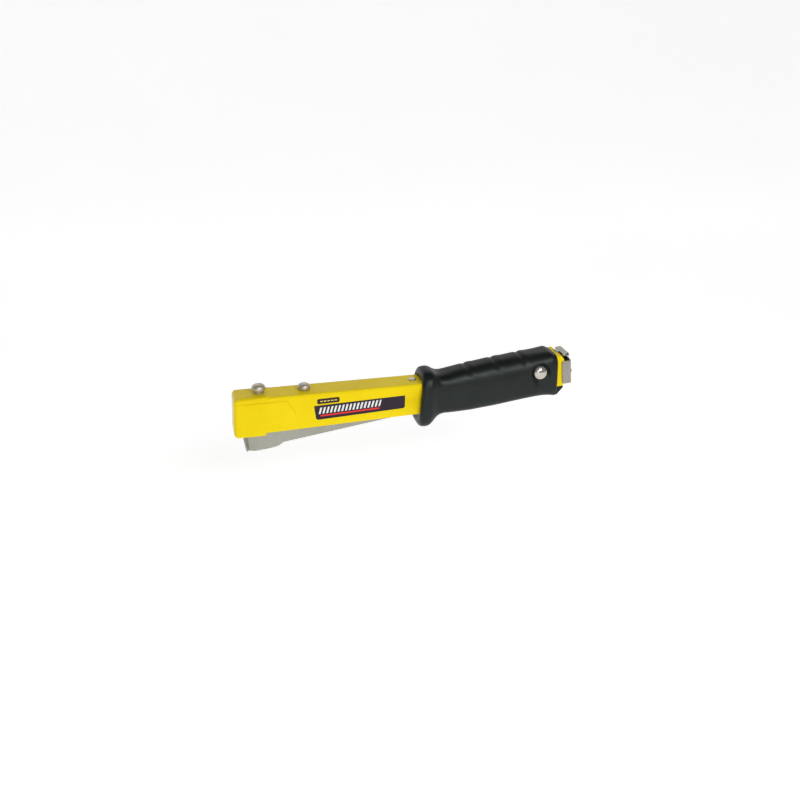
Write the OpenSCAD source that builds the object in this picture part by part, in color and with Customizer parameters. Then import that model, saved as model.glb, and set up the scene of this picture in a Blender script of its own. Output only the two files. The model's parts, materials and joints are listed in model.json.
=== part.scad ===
// Hammer tacker: a pressed-steel body with a rubber grip, and a magazine that hinges inside it.
// Millimetres. +X runs along the body's top edge from the nose to the handle, +Z is up.
// The origin is the middle of the flat sole under the nose, just behind the staple exit.

/* [Body] */
// Outside width of the pressed body channel
body_w = 27; // [25.5:0.5:29]
// Sheet thickness of the body channel
body_t = 1.5; // [1.2:0.1:1.8]
// Length of bare body, from its front wall to the collar
body_len = 168; // [160:1:172]
// Depth of the body at its front wall
head_depth = 34.4; // [33:0.2:35]
// Depth of the body where it enters the collar
collar_depth = 28.9; // [28:0.1:29.5]
// Thickness of the reinforcing head cap
cap_t = 1; // [0.8:0.1:1.2]

/* [Magazine] */
// Outside width of the magazine casing
casing_w = 22.4; // [21.6:0.2:22.6]
// Angle between the magazine and the body's top edge at rest
mag_tilt = 7.9; // [7.5:0.1:8.2]
// Travel of the nose into the head, in degrees about the pivot
stroke = 3.2; // [2.8:0.1:3.3]
// Distance from the pivot to the driver blade
drive_r = 276; // [275:0.5:277]
// Number of staples in the loaded strip
staple_count = 54; // [20:1:60]

/* [Grip] */
// Width of the grip where the hand holds it
grip_w = 35; // [34:0.5:38]
// Width of the collar
collar_w = 42; // [40:0.5:44]

/* [Hidden] */
$fn = 48;
e = 0.01; // overrun of cutters

// Frame. The pivot is the centre of the magazine's swing; the sole is sole_drop below it.
sole_drop = 15.3;
sole_u = drive_r - 8;
pivot_x = sole_u * cos(mag_tilt) - sole_drop * sin(mag_tilt);
pivot_z = sole_u * sin(mag_tilt) + sole_drop * cos(mag_tilt);
collar_x = pivot_x - 112.8; // front of the collar
top_z = pivot_z - 1.3;      // top of the body

// Levels in the magazine's frame: u rearwards and w up from the pivot
casing_floor = -12.6;
casing_wall = 1.2;
casing_top = 9;
casing_rear = 20;
track_floor = casing_floor + 1;
track_w = 11;
track_t = 0.8;
crown_top = -0.6;
wire_w = 1.27;
wire_t = 0.95;
crown_w = 10.6;
leg_tip = -10.5;
rail_w = 7.6;
slot_half = 0.7;  // half of the driver slot's thickness
blade_half = 0.55;
rod_w = 3.3;      // height of the pusher rod
rod_r = 1.2;
coil_r = 2.4;     // outside radius of the pusher spring
rod_front = -207;
spring_at = -220; // the return spring
stop_u = -231;    // the stop pin
stop_w = 6;
stop_r = 1.6;
seat_w = 0.6;
seat_t = 1.3;
bridge_t = 1.2;
strip_front = -drive_r + slot_half + 0.2;
strip_end = strip_front + staple_count * wire_w;
shoe_u = strip_end + 0.3;
shoe_l = 78;
block_u = shoe_u + shoe_l - 12; // the guide block at the shoe's rear end

// Levels in the body's frame: x rearwards from the collar, z up from the body's top
front_x = -body_len;
head_lean = 1.4;     // the head's foot is this much further forward than its top
rivet_x = [-145.7, -105.3];
handle_rivet_x = -5.8;
rear_x = 136.6;
rear_top = 15.9;
rear_bottom = -14.2;
pivot_hole_r = 3;
body_in = body_w - 2 * body_t;

module body_frame() translate([collar_x, 0, top_z]) children();
module pivot_frame() translate([pivot_x, 0, pivot_z]) children();
module mag_frame() pivot_frame() rotate([0, -mag_tilt, 0]) children();

// A side outline, extruded across the tool between y0 and y1
module side(y0, y1) translate([0, y1, 0]) rotate([90, 0, 0]) linear_extrude(y1 - y0) children();

// The same outline on both sides of the tool, from half-width a to b
module both_sides(a, b) {
  side(a, b) children();
  side(-b, -a) children();
}

// A cylinder across the tool
module across(r, y0, y1) translate([0, y1, 0]) rotate([90, 0, 0]) cylinder(r = r, h = y1 - y0);

// A curved plate about the pivot, from r0 to r1, between two heights in degrees on the nose's side
module arc_plate(r0, r1, low, high, w)
  rotate([90, 0, 0]) rotate([0, 0, 180 - high]) rotate_extrude(angle = high - low, $fn = 720)
    translate([r0, -w / 2]) square([r1 - r0, w]);

// A domed rivet head standing on z = 0
module dome(r, h) rotate_extrude() polygon([
  [0, 0], [r, 0], for (a = [0 : 15 : 75]) [r * cos(a), h * (0.3 + 0.7 * sin(a))], [0, h]
]);

// A coil spring's stand-in: a tube with the coil's own inside and outside
module coil(r, wire, h) difference() {
  cylinder(r = r, h = h);
  translate([0, 0, -e]) cylinder(r = r - wire, h = h + 2 * e);
}

// ---- body ----

module body_outline(t) polygon([
  [front_x + t, -t], [4, -t], [128, 15.2 - t], [rear_x - 3.5, rear_top + 0.3 - t],
  [rear_x + (t > 0 ? 9 : 0), rear_top - (t > 0 ? t : 4)], [rear_x + 0.6 + (t > 0 ? 9 : 0), rear_bottom - 9 * t],
  [2, -collar_depth - 9 * t], [-141, -33.3 - 9 * t], [front_x - head_lean + 3 * (t > 0 ? 0 : 1) + t, -head_depth - 9 * t],
  [front_x - head_lean + t, -head_depth + 2.5 - 12 * t]
]);

module body_channel() color("gold") difference() {
  body_frame() side(-body_w / 2, body_w / 2) body_outline(0);
  body_frame() side(-body_in / 2, body_in / 2) body_outline(body_t);
  for (x = rivet_x) body_frame() translate([x, 0, -5]) cylinder(r = 2.5, h = 10);
  body_frame() translate([handle_rivet_x, 0, -5]) cylinder(r = 2, h = 10);
  pivot_frame() across(pivot_hole_r, -body_w, body_w);
  mag_frame() translate([20.6, -4, 5]) cube([20, 8, 20]); // notch for the latch tongue
}

// Cap outline on the side: the wing behind the front wall, with its notch near the top
cap_depth = head_depth + cap_t;
wing = [
  [front_x - cap_t, -6], [-122, -5.6], [-119, -7], [-114.4, -17.2], [-117, -20.4], [-139, -23],
  [-142.6, -26], [-142.8, -cap_depth + 0.3], [-145, -cap_depth], [front_x - head_lean + 2, -cap_depth],
  [front_x - head_lean - cap_t, -cap_depth + 3]
];
tongue_x = -136;

module head_cap() color("gold") difference() {
  body_frame() union() {
    both_sides(body_w / 2, body_w / 2 + cap_t) polygon(wing);
    side(-body_w / 2 - cap_t, body_w / 2 + cap_t) polygon([
      [front_x - head_lean - cap_t, -cap_depth + 3], [front_x - head_lean, -cap_depth + 1.5],
      [front_x - head_lean, -head_depth + 2.5], [front_x, 0],
      [tongue_x + 2, 0], [tongue_x, cap_t], [front_x, cap_t], [front_x - cap_t, 0]
    ]);
    both_sides(body_w / 2, body_w / 2 + cap_t) polygon([
      [front_x - cap_t, -7], [front_x + 3, -7], [front_x + 3, -2], [tongue_x - 4, -2],
      [tongue_x, 0], [tongue_x, cap_t / 2], [front_x, cap_t / 2], [front_x - cap_t, 0]
    ]);
  }
  body_frame() translate([rivet_x[0], 0, -1]) cylinder(r = 2.5, h = 10);
}

module head_rivets() color("silver") for (i = [0, 1]) body_frame() translate([rivet_x[i], 0, 0]) {
  seat = i == 0 ? cap_t : 0;
  translate([0, 0, seat]) cylinder(r = 5, h = 1.5);
  translate([0, 0, seat + (i == 0 ? 1.3 : 0)]) dome(6.1 - 0.2 * i, 6.9 - 0.4 * i);
  translate([0, 0, -body_t - 1.5]) cylinder(r = 2.5, h = seat + body_t + 2);
}

module handle_rivet() color("silver") body_frame() translate([handle_rivet_x, 0, 0]) {
  dome(3.6, 1.4);
  translate([0, 0, -body_t]) cylinder(r = 2, h = body_t + 0.5);
  translate([0, 0, -body_t - 0.6]) cylinder(r = 3.2, h = 0.6);
}

// The clamp bolts the blade's head under the body's top wall
clamp_depth = 9.2;
module blade_clamp() color("dimgray") difference() {
  body_frame() side(-body_in / 2 + 0.2, body_in / 2 - 0.2) polygon([
    [front_x + body_t + 0.1, -body_t], [-139, -body_t], [-139, -clamp_depth + 2], [-141, -clamp_depth],
    [front_x + body_t + 2, -clamp_depth], [front_x + body_t + 0.1, -clamp_depth + 2]
  ]);
  mag_frame() arc_plate(drive_r - blade_half, drive_r + blade_half, 5, 9, 10.4);
  body_frame() translate([rivet_x[0], 0, -clamp_depth - 1]) cylinder(r = 2.5, h = clamp_depth);
}

module driver_blade() color("lightgray") intersection() {
  mag_frame() arc_plate(drive_r - blade_half, drive_r + blade_half, 0.02, 7.2, 10.4);
  body_frame() translate([front_x, -10, -60]) cube([40, 20, 60 - body_t - 1]);
}

module impact_bumper() color("black") body_frame() side(-9, 9) polygon([
  [-138.4, -body_t], [-124, -body_t], [-124.4, -7], [-125.4, -7.6], [-136.8, -8.6], [-138, -8]
]);

// Hanger: an inverted U whose slots hold the stop pin through its travel
hang_x = rivet_x[1];
hang_in = 7.3;
hang_t = 1.4;
module stop_slot() mag_frame() {
  for (a = [0, stroke]) rotate([0, a, 0]) translate([stop_u, 0, stop_w]) across(stop_r + 0.15, -12, 12);
  rotate([0, stroke / 2, 0]) translate([stop_u - stop_r - 0.15, -12, stop_w + 0.4])
    translate([0, 0, -0.4 + stop_u * sin(stroke / 2)])
      cube([2 * stop_r + 0.3, 24, -2 * stop_u * sin(stroke / 2)]);
}
module stop_hanger() color("gray") difference() {
  body_frame() union() {
    translate([hang_x - 16.5, -hang_in - hang_t, -body_t - 1.4]) cube([24.5, 2 * (hang_in + hang_t), 1.4]);
    both_sides(hang_in, hang_in + hang_t) polygon([
      [hang_x - 16.5, -body_t], [hang_x + 8, -body_t], [hang_x + 8, -6], [hang_x - 7, -12],
      [hang_x - 7, -26.4], [hang_x - 8, -28], [hang_x - 15.5, -28], [hang_x - 16.5, -27]
    ]);
  }
  stop_slot();
  body_frame() translate([hang_x, 0, -6]) cylinder(r = 2.5, h = 8);
}

module spring_post() color("gray") body_frame() translate([hang_x, 0, -body_t - 2.6]) {
  difference() {
    cylinder(r = 6.6, h = 1.2);
    translate([0, 0, 0.9]) cylinder(r = 2.5, h = 1);
  }
  translate([0, 0, -1.2]) cylinder(r = 4, h = 1.2);
}

// ---- grip ----

// Stations along the grip: [x, half-width, top, bottom, squareness]
grip_b = grip_w / 2;
collar_b = collar_w / 2;
stations = [
  [1.5, collar_b - 3.8, 5.6, -37.4, 0.55], [2.4, collar_b - 1.8, 8, -40.6, 0.55], [4, collar_b - 0.5, 9.3, -42.8, 0.55],
  [6.7, collar_b, 9.8, -43.4, 0.55], [9.5, collar_b - 0.4, 9.4, -42.8, 0.55], [12, collar_b - 1.6, 8.4, -40.4, 0.55],
  [15, grip_b + 1.2, 6.9, -36, 0.52], [18, grip_b + 0.2, 5.6, -33.2, 0.5], [22, grip_b - 0.3, 5.5, -32.1, 0.5],
  [30, grip_b - 0.5, 7, -31.9, 0.5], [38, grip_b - 0.3, 8.4, -31.7, 0.52], [48, grip_b, 10.3, -31.2, 0.52],
  [58, grip_b + 0.3, 11.9, -30.2, 0.52], [70, grip_b + 0.5, 13.4, -28.9, 0.52], [82, grip_b + 0.7, 14.9, -27.2, 0.52],
  [94, grip_b + 0.8, 16.3, -25.6, 0.52], [106, grip_b + 0.9, 17.4, -24.1, 0.52], [115, grip_b + 0.9, 18.2, -23.3, 0.5],
  [123, grip_b + 0.8, 18.9, -23.5, 0.48], [126, grip_b + 0.7, 17.6, -24, 0.42], [129, grip_b + 0.5, 16.8, -24.6, 0.38]
];
grip_sides = 40;
function spow(v, p) = sign(v) * pow(abs(v), p);
function lean(x) = 0.1 * max(0, min(1, (22 - x) / 16)); // the collar leans forward at its foot
function ring(s) = [
  for (i = [0 : grip_sides - 1]) let (
    a = 360 * i / grip_sides, m = (s[2] + s[3]) / 2, h = (s[2] - s[3]) / 2, z = m + h * spow(sin(a), s[4])
  ) [s[0] + lean(s[0]) * z, s[1] * spow(cos(a), s[4]), z]
];
module loft(rings) {
  n = len(rings[0]);
  last = len(rings) - 1;
  polyhedron(
    points = [for (r = rings) each r],
    faces = [
      [for (i = [0 : n - 1]) i],
      for (k = [0 : last - 1]) for (i = [0 : n - 1]) let (j = (i + 1) % n)
        each [[k * n + i, (k + 1) * n + i, (k + 1) * n + j], [k * n + i, (k + 1) * n + j, k * n + j]],
      [for (i = [n - 1 : -1 : 0]) last * n + i]
    ]
  );
}
module grip() color([0.08, 0.08, 0.08]) difference() {
  body_frame() union() {
    loft([for (s = stations) ring(s)]);
    side(-10, 10) polygon([[127, -15.2], [136.4, -15.2], [136.6, -17.6], [130.5, -24.4], [127, -24.4]]); // heel
  }
  body_frame() side(-body_w / 2 - 0.05, body_w / 2 + 0.05) polygon([
    [-9, 0.05], [4, 0.05], [128, 15.25], [131, 15.9], [150, 17.6], [150, -13.2], [2, -collar_depth - 0.05], [-9, -collar_depth - 0.4]
  ]);
  pivot_frame() across(7.4, -30, 30);
}

// Shoulder rivets: two separate stubs, so that the staples and the rod pass between them
module pivot_rivets() color("silver") pivot_frame() for (s = [-1, 1]) scale([1, s, 1])
  rotate([-90, 0, 0]) {
    translate([0, 0, body_w / 2]) dome(7, 6);
    translate([0, 0, 8.4]) cylinder(r = pivot_hole_r, h = body_w / 2 - 8.4 + 0.5);
  }

module pivot_bushes() color("goldenrod") pivot_frame() for (s = [-1, 1]) scale([1, s, 1])
  rotate([-90, 0, 0]) translate([0, 0, casing_w / 2 + 0.05]) difference() {
    cylinder(r = 5, h = body_in / 2 - casing_w / 2 - 0.1);
    translate([0, 0, -1]) cylinder(r = pivot_hole_r + 0.05, h = 4);
  }

// ---- labels ----

module side_labels() color([0.1, 0.08, 0.1]) body_frame()
  both_sides(body_w / 2, body_w / 2 + 0.2) polygon([
    [-98.8, -11.6], [-15.6, -9.4], [-15.9, -20.4], [-17.4, -21.6], [-95.6, -25], [-97.2, -23.8]
  ]);

module badge_labels() color([0.15, 0.12, 0.1]) body_frame()
  both_sides(body_w / 2, body_w / 2 + 0.2) polygon([
    [-94.6, -5.4], [-76.4, -4.9], [-75.4, -6.2], [-75.4, -8.8], [-76.4, -9.8], [-94.6, -10.3], [-95.6, -9.2], [-95.6, -6.6]
  ]);

// ---- magazine ----

casing_half = casing_w / 2;
nose_half = 7.6;
nose_u = -drive_r + slot_half;  // where the casing's side walls end
module casing_plan(inset) polygon([
  [nose_u - (inset > 0 ? 1 : 0), -nose_half + inset], [nose_u + 2, -nose_half - 1.2 + inset], [nose_u + 5, -casing_half + 1 + inset],
  [nose_u + 9, -casing_half + inset], [casing_rear + inset, -casing_half + inset],
  [casing_rear + inset, casing_half - inset], [nose_u + 9, casing_half - inset],
  [nose_u + 5, casing_half - 1 - inset], [nose_u + 2, nose_half + 1.2 - inset], [nose_u - (inset > 0 ? 1 : 0), nose_half - inset]
]);
foot_end = -247.5;
module casing_side() polygon([
  [nose_u, -sole_drop], [-253, -sole_drop], [-250, -sole_drop + 0.5], [-248.2, -sole_drop + 1.4],
  [foot_end, casing_floor], [casing_rear, casing_floor], [casing_rear, casing_top], [-12, casing_top],
  [-60, 7], [-100, 5.4], [-124, 5.4], [-160, casing_top], [-264, casing_top], [-270, 4], [nose_u, 3]
]);

module magazine_casing() color("darkgray") mag_frame() difference() {
  union() {
    intersection() {
      translate([0, 0, -20]) linear_extrude(40) difference() {
        casing_plan(0);
        casing_plan(casing_wall);
      }
      side(-casing_half, casing_half) casing_side();
    }
    translate([foot_end - 1, -casing_half + e, casing_floor]) cube([casing_rear - foot_end + 1 - e, casing_w - 2 * e, 1]);
  }
  across(pivot_hole_r + 0.05, -20, 20);
  translate([stop_u, 0, stop_w]) across(stop_r + 0.02, -20, 20);
  for (u = [-267, -255]) translate([u, 0, -13.2]) across(1.2, -casing_half + 0.5, casing_half - 0.5);
}

module nose_plate() color("silver") mag_frame() intersection() {
  union() {
    arc_plate(drive_r + slot_half, drive_r + slot_half + 1.5, -4, 0.8, 2 * nose_half);
    for (s = [-1, 1]) translate([0, s * 5.8, 0]) // webs that close the driver slot's ends
      arc_plate(drive_r - slot_half, drive_r + slot_half + 0.5, -4, 0.8, 0.8);
  }
  translate([-290, -20, -sole_drop]) cube([40, 40, 18]);
}

// The foot fills the casing behind the driver slot and carries the track's front end
module nose_foot() color("gray") mag_frame() difference() {
  intersection() {
    translate([0, 0, -sole_drop]) linear_extrude(track_floor + sole_drop) casing_plan(casing_wall);
    translate([-drive_r - 5, -20, -20]) cube([drive_r + 5 + foot_end - 1.2, 40, 30]);
    side(-20, 20) polygon([
      [-282, -sole_drop], [-253, -sole_drop], [-250, -sole_drop + 0.5], [-248.2, -sole_drop + 1.4],
      [foot_end, casing_floor], [foot_end, 0], [-282, 0]
    ]);
  }
  arc_plate(drive_r - slot_half, drive_r + 9, -8, 3, 40);
  for (u = [-267, -255]) translate([u, 0, -13.2]) across(1.2, -20, 20);
}

module nose_rivets() color("silver") mag_frame() for (u = [-267, -255]) translate([u, 0, -13.2])
  across(1.2, -casing_half + 0.5, casing_half - 0.5);

module staple_track() color("silver") mag_frame() difference() {
  translate([-drive_r, -track_w / 2 - track_t, track_floor])
    cube([drive_r + casing_rear - 1, track_w + 2 * track_t, crown_top + 0.3 - track_floor + track_t]);
  translate([-drive_r - 1, -track_w / 2, track_floor + track_t])
    cube([400, track_w, crown_top + 0.3 - track_floor - track_t]);
  translate([-drive_r - 1, -2.6, 0 - 1]) cube([400, 5.2, 5]);
  arc_plate(drive_r - slot_half, drive_r + 9, -8, 3, 40);
}

module staple_rail() color("silver") mag_frame() difference() {
  translate([-drive_r, -rail_w / 2, track_floor + track_t])
    cube([drive_r + casing_rear - 3, rail_w, crown_top - wire_t - 0.1 - track_floor - track_t]);
  translate([-drive_r - 1, -rail_w / 2 + 0.9, track_floor])
    cube([400, rail_w - 1.8, crown_top - wire_t - 1 - track_floor]);
  arc_plate(drive_r - slot_half, drive_r + 9, -8, 3, 40);
}

// The seat spans the casing's walls just over the track, and centres the return spring
module spring_seat() color("gray") mag_frame() translate([spring_at, 0, seat_w]) {
  translate([-4, -casing_half + casing_wall, 0]) cube([13, casing_w - 2 * casing_wall, seat_t]);
  translate([0, 0, seat_t]) cylinder(r = 3.9, h = 1.4);
}

// The bridge takes the bumper's blow when the nose is driven home
module strike_bridge() color("darkgray") mag_frame() translate([-250, -casing_half, casing_top])
  cube([12, casing_w, bridge_t]);

module return_spring() color("dimgray") {
  top = top_z - body_t - 2.6;
  base = pivot_z + spring_at * sin(mag_tilt) + (seat_w + seat_t) * cos(mag_tilt) + 0.9;
  translate([collar_x + hang_x, 0, base]) coil(6, 1.6, top - base - 0.05);
}

module stop_pin() color("silver") mag_frame() translate([stop_u, 0, stop_w])
  across(stop_r, -casing_half, casing_half);

module staple_strip() color("silver") mag_frame() difference() {
  translate([strip_front, -crown_w / 2, leg_tip]) cube([staple_count * wire_w, crown_w, crown_top - leg_tip]);
  translate([strip_front - 1, -crown_w / 2 + wire_t, leg_tip - 1])
    cube([staple_count * wire_w + 2, crown_w - 2 * wire_t, crown_top - wire_t - leg_tip + 1]);
}

// ---- pusher ----

module follower_shoe() color("dimgray") mag_frame() difference() {
  union() {
    translate([shoe_u, -5.2, leg_tip]) cube([shoe_l, 10.4, crown_top - 0.1 - leg_tip]);
    translate([block_u, -2.2, crown_top - 0.2]) cube([12, 4.4, 3]);
    translate([block_u, -3.4, 1.2]) cube([12, 6.8, rod_w + 2]);
  }
  translate([shoe_u - 1, -rail_w / 2 - 0.25, leg_tip - 1])
    cube([shoe_l + 2, rail_w + 0.5, crown_top - wire_t + 0.15 - leg_tip + 1]);
  translate([block_u - 1, 0, rod_w]) rotate([0, 90, 0]) cylinder(r = rod_r + 0.07, h = 14);
}

module follower_plate() color("silver") mag_frame() difference() {
  translate([block_u - 1.4, -3.4, 1.2]) cube([1.4, 6.8, rod_w + 2]);
  translate([block_u - 4, 0, rod_w]) rotate([0, 90, 0]) cylinder(r = rod_r + 0.07, h = 8);
}

cap_u = 29;
cap_t2 = 2;
spring_u = shoe_u + shoe_l + 0.2;
seat_u = cap_u - 2.4;
module pusher_spring() color("gray") mag_frame() translate([spring_u, 0, rod_w])
  rotate([0, 90, 0]) coil(coil_r, 0.6, seat_u - spring_u - 0.1);

module pusher_rod() color("silver") mag_frame() translate([rod_front, 0, rod_w])
  rotate([0, 90, 0]) cylinder(r = rod_r, h = cap_u + cap_t2 + 1.8 - rod_front);

module rod_tip_nut() color("silver") mag_frame() translate([rod_front - 1.6, 0, rod_w])
  rotate([0, 90, 0]) difference() {
    cylinder(r = 2.2, h = 2.4);
    translate([0, 0, 1.6]) cylinder(r = rod_r, h = 2);
  }

module spring_seat_washer() color("silver") mag_frame() translate([seat_u, 0, rod_w])
  rotate([0, 90, 0]) difference() {
    cylinder(r = 2.8, h = 1.6);
    translate([0, 0, -1]) cylinder(r = rod_r, h = 4);
  }

flange_in = body_w / 2 + 0.4;
flange_out = flange_in + 1.1;
cap_low = -17;
cap_high = 5.4;
latch_u = cap_u - 1.6;
latch_w = 8.8;
tongue_w = 10.6;
module end_cap() color("silver") mag_frame() difference() {
  union() {
    translate([cap_u, -flange_out, cap_low]) cube([cap_t2, 2 * flange_out, cap_high - cap_low]);
    for (y = [-flange_out, flange_in]) translate([22, y, cap_low]) cube([cap_u - 22 + e, 1.1, cap_high - cap_low]);
    translate([cap_u, -9.6, cap_high - 1]) cube([cap_t2, 19.2, 2]);
    for (y = [-6.2, 5]) side(y, y + 1.2) polygon([ // ears for the latch pin
      [25.6, cap_high - 1], [cap_u + cap_t2, cap_high - 1], [cap_u + cap_t2, 7.6], [28.8, 9.9], [25.6, 9.9]
    ]);
  }
  translate([cap_u - 5, 0, rod_w]) rotate([0, 90, 0]) cylinder(r = rod_r, h = 10);
  translate([latch_u, 0, latch_w]) across(0.82, -9, 9);
}

module end_cap_nut() color("silver") mag_frame() translate([cap_u + cap_t2, 0, rod_w])
  rotate([0, 90, 0]) difference() {
    cylinder(r = 3, h = 1.6, $fn = 6);
    translate([0, 0, -1]) cylinder(r = rod_r, h = 5);
  }

// The latch tongue hooks over the body's rear edge and turns on a pin in the cap's ears
module latch_tongue() color("silver") mag_frame() difference() {
  union() {
    translate([24.9, -9.6, tongue_w]) cube([5.3, 19.2, 1.1]);
    side(-4.8, 4.8) polygon([
      [25.9, 11.2], [25.9, 7.5], [28.9, 7.5], [28.9, tongue_w], [30.5, tongue_w - 0.3], [30.5, 7.8], [31.6, 7.8],
      [31.6, 10.8], [30.2, tongue_w + 1.1], [28, tongue_w + 1.1]
    ]);
    side(-3, 3) polygon([
      [26, 11.7], [25.4, 11.7], [24.4, 12.6], [21.9, 13.3], [21.2, 12.9], [21.2, 10], [22, 10], [22.3, 12],
      [24, 11.5], [25, tongue_w], [26, tongue_w]
    ]);
  }
  translate([latch_u, 0, latch_w]) across(0.87, -9, 9);
}

module latch_pin() color("silver") mag_frame() translate([latch_u, 0, latch_w]) across(0.8, -6.8, 6.8);

module latch_rivets() color("silver") mag_frame() for (y = [-11, 11])
  translate([cap_u + cap_t2, y, -6]) rotate([0, 90, 0]) dome(2, 1.2);

body_channel();
head_cap();
head_rivets();
handle_rivet();
blade_clamp();
driver_blade();
impact_bumper();
stop_hanger();
spring_post();
grip();
pivot_rivets();
pivot_bushes();
side_labels();
badge_labels();
magazine_casing();
nose_plate();
nose_foot();
nose_rivets();
staple_track();
staple_rail();
spring_seat();
strike_bridge();
return_spring();
stop_pin();
staple_strip();
follower_shoe();
follower_plate();
pusher_spring();
pusher_rod();
rod_tip_nut();
spring_seat_washer();
end_cap();
end_cap_nut();
latch_tongue();
latch_pin();
latch_rivets();
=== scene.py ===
"""Looks of the hammer tacker. Lengths in the helpers are millimetres; objects are in metres."""
import json
import math

import bmesh
import bpy
from mathutils import Matrix, Vector


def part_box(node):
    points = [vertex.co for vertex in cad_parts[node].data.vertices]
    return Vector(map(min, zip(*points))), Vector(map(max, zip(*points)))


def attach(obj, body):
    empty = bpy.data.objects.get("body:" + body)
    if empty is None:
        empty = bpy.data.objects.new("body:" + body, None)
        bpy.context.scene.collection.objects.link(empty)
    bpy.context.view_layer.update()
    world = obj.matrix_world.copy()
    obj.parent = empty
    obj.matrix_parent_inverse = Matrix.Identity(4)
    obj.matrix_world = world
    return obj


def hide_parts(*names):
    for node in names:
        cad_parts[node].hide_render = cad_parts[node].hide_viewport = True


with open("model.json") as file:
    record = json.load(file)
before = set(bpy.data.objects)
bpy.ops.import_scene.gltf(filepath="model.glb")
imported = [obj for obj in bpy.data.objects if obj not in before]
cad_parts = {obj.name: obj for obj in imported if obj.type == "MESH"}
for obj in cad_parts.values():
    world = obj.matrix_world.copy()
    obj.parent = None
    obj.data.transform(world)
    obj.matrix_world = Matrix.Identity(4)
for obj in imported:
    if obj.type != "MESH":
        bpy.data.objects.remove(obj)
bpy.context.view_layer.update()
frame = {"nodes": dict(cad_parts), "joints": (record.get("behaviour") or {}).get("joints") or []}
MM = 0.001

# ---------------------------------------------------------------- frames

joints = {j["name"]: j for j in frame["joints"]}
PIVOT = Vector(joints["magazine_pivot"]["pos_m"]) * 1000
SLIDE = Vector(joints["rod_slide"]["axis"])
PIVOT_X, PIVOT_Z = 112.8, 1.3   # the pivot, from the collar and from the body's top face
COLLAR_X = PIVOT.x - PIVOT_X
TOP_Z = PIVOT.z - PIVOT_Z
TILT = math.atan2(SLIDE.z, SLIDE.x)


def body(x, y, z):
    """x rearwards from the collar, z up from the body's top face."""
    return Vector((x + COLLAR_X, y, z + TOP_Z)) * MM


def mag(u, y, w):
    """u rearwards along the magazine from the pivot, w up."""
    return Vector((PIVOT.x + u * math.cos(TILT) - w * math.sin(TILT), y,
                   PIVOT.z + u * math.sin(TILT) + w * math.cos(TILT))) * MM


# ---------------------------------------------------------------- mesh helpers


def make(name, verts, faces, smooth=40, merge=True):
    me = bpy.data.meshes.new(name)
    me.from_pydata([tuple(v) for v in verts], [], faces)
    o = bpy.data.objects.new(name, me)
    bpy.context.scene.collection.objects.link(o)
    bm = bmesh.new()
    bm.from_mesh(me)
    if merge:
        bmesh.ops.remove_doubles(bm, verts=bm.verts, dist=1e-6)
    bmesh.ops.recalc_face_normals(bm, faces=bm.faces)
    bm.to_mesh(me)
    bm.free()
    shade(o, smooth)
    return o


def shade(o, angle=40):
    for p in o.data.polygons:
        p.use_smooth = True
    if angle:
        o.data.set_sharp_from_angle(angle=math.radians(angle))


def copy_node(node, name):
    """A clean polygon copy of a CAD node's mesh."""
    src = frame["nodes"][node]
    o = src.copy()
    o.data = src.data.copy()
    o.name = name
    o.parent = None
    o.matrix_world = Matrix.Identity(4)
    bpy.context.scene.collection.objects.link(o)
    for key in list(o.keys()):
        del o[key]
    bm = bmesh.new()
    bm.from_mesh(o.data)
    bmesh.ops.remove_doubles(bm, verts=bm.verts, dist=2e-6)
    bmesh.ops.dissolve_limit(bm, angle_limit=math.radians(0.6), verts=bm.verts, edges=bm.edges)
    bm.to_mesh(o.data)
    bm.free()
    o.data.materials.clear()
    return o


def bevel(o, width, segments=3, angle=35, weighted=None, profile=0.5):
    """Rounds edges: all sharp ones, or those that weighted(a, b) gives a width in millimetres."""
    if weighted:
        name = "bevel_weight_edge"
        layer = o.data.attributes.get(name) or o.data.attributes.new(name, "FLOAT", "EDGE")
        co = [v.co * 1000 for v in o.data.vertices]
        for e in o.data.edges:
            layer.data[e.index].value = weighted(co[e.vertices[0]], co[e.vertices[1]]) / width
    m = o.modifiers.new("bevel", "BEVEL")
    m.width = width * MM
    m.segments = segments
    m.profile = profile
    m.limit_method = "WEIGHT" if weighted else "ANGLE"
    m.angle_limit = math.radians(angle)
    m.use_clamp_overlap = True
    m.harden_normals = False
    m.miter_outer = "MITER_ARC"
    return m


def fillet(points, steps=6):
    """Points are (x, y) or (x, y, r). Corners with r are rounded."""
    out = []
    n = len(points)
    for i, p in enumerate(points):
        if len(p) < 3 or p[2] <= 0:
            out.append((p[0], p[1]))
            continue
        a, b, c = Vector(points[i - 1][:2]), Vector(p[:2]), Vector(points[(i + 1) % n][:2])
        d1, d2 = (a - b).normalized(), (c - b).normalized()
        half = math.acos(max(-1, min(1, d1.dot(d2)))) / 2
        reach = min(p[2] / math.tan(half), (a - b).length * 0.49, (c - b).length * 0.49)
        r = reach * math.tan(half)
        centre = b + (d1 + d2).normalized() * (r / math.sin(half))
        s, e = b + d1 * reach - centre, b + d2 * reach - centre
        turn = math.atan2(s.x * e.y - s.y * e.x, s.dot(e))
        for k in range(steps + 1):
            t = turn * k / steps
            out.append((centre.x + s.x * math.cos(t) - s.y * math.sin(t),
                        centre.y + s.x * math.sin(t) + s.y * math.cos(t)))
    return out


def prism(name, outline, y0, y1, where=body):
    """A side outline, extruded across the tool."""
    n = len(outline)
    verts = [where(x, y0, z) for x, z in outline] + [where(x, y1, z) for x, z in outline]
    faces = [list(range(n)), list(range(2 * n - 1, n - 1, -1))]
    faces += [[i, (i + 1) % n, n + (i + 1) % n, n + i] for i in range(n)]
    return make(name, verts, faces)


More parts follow.
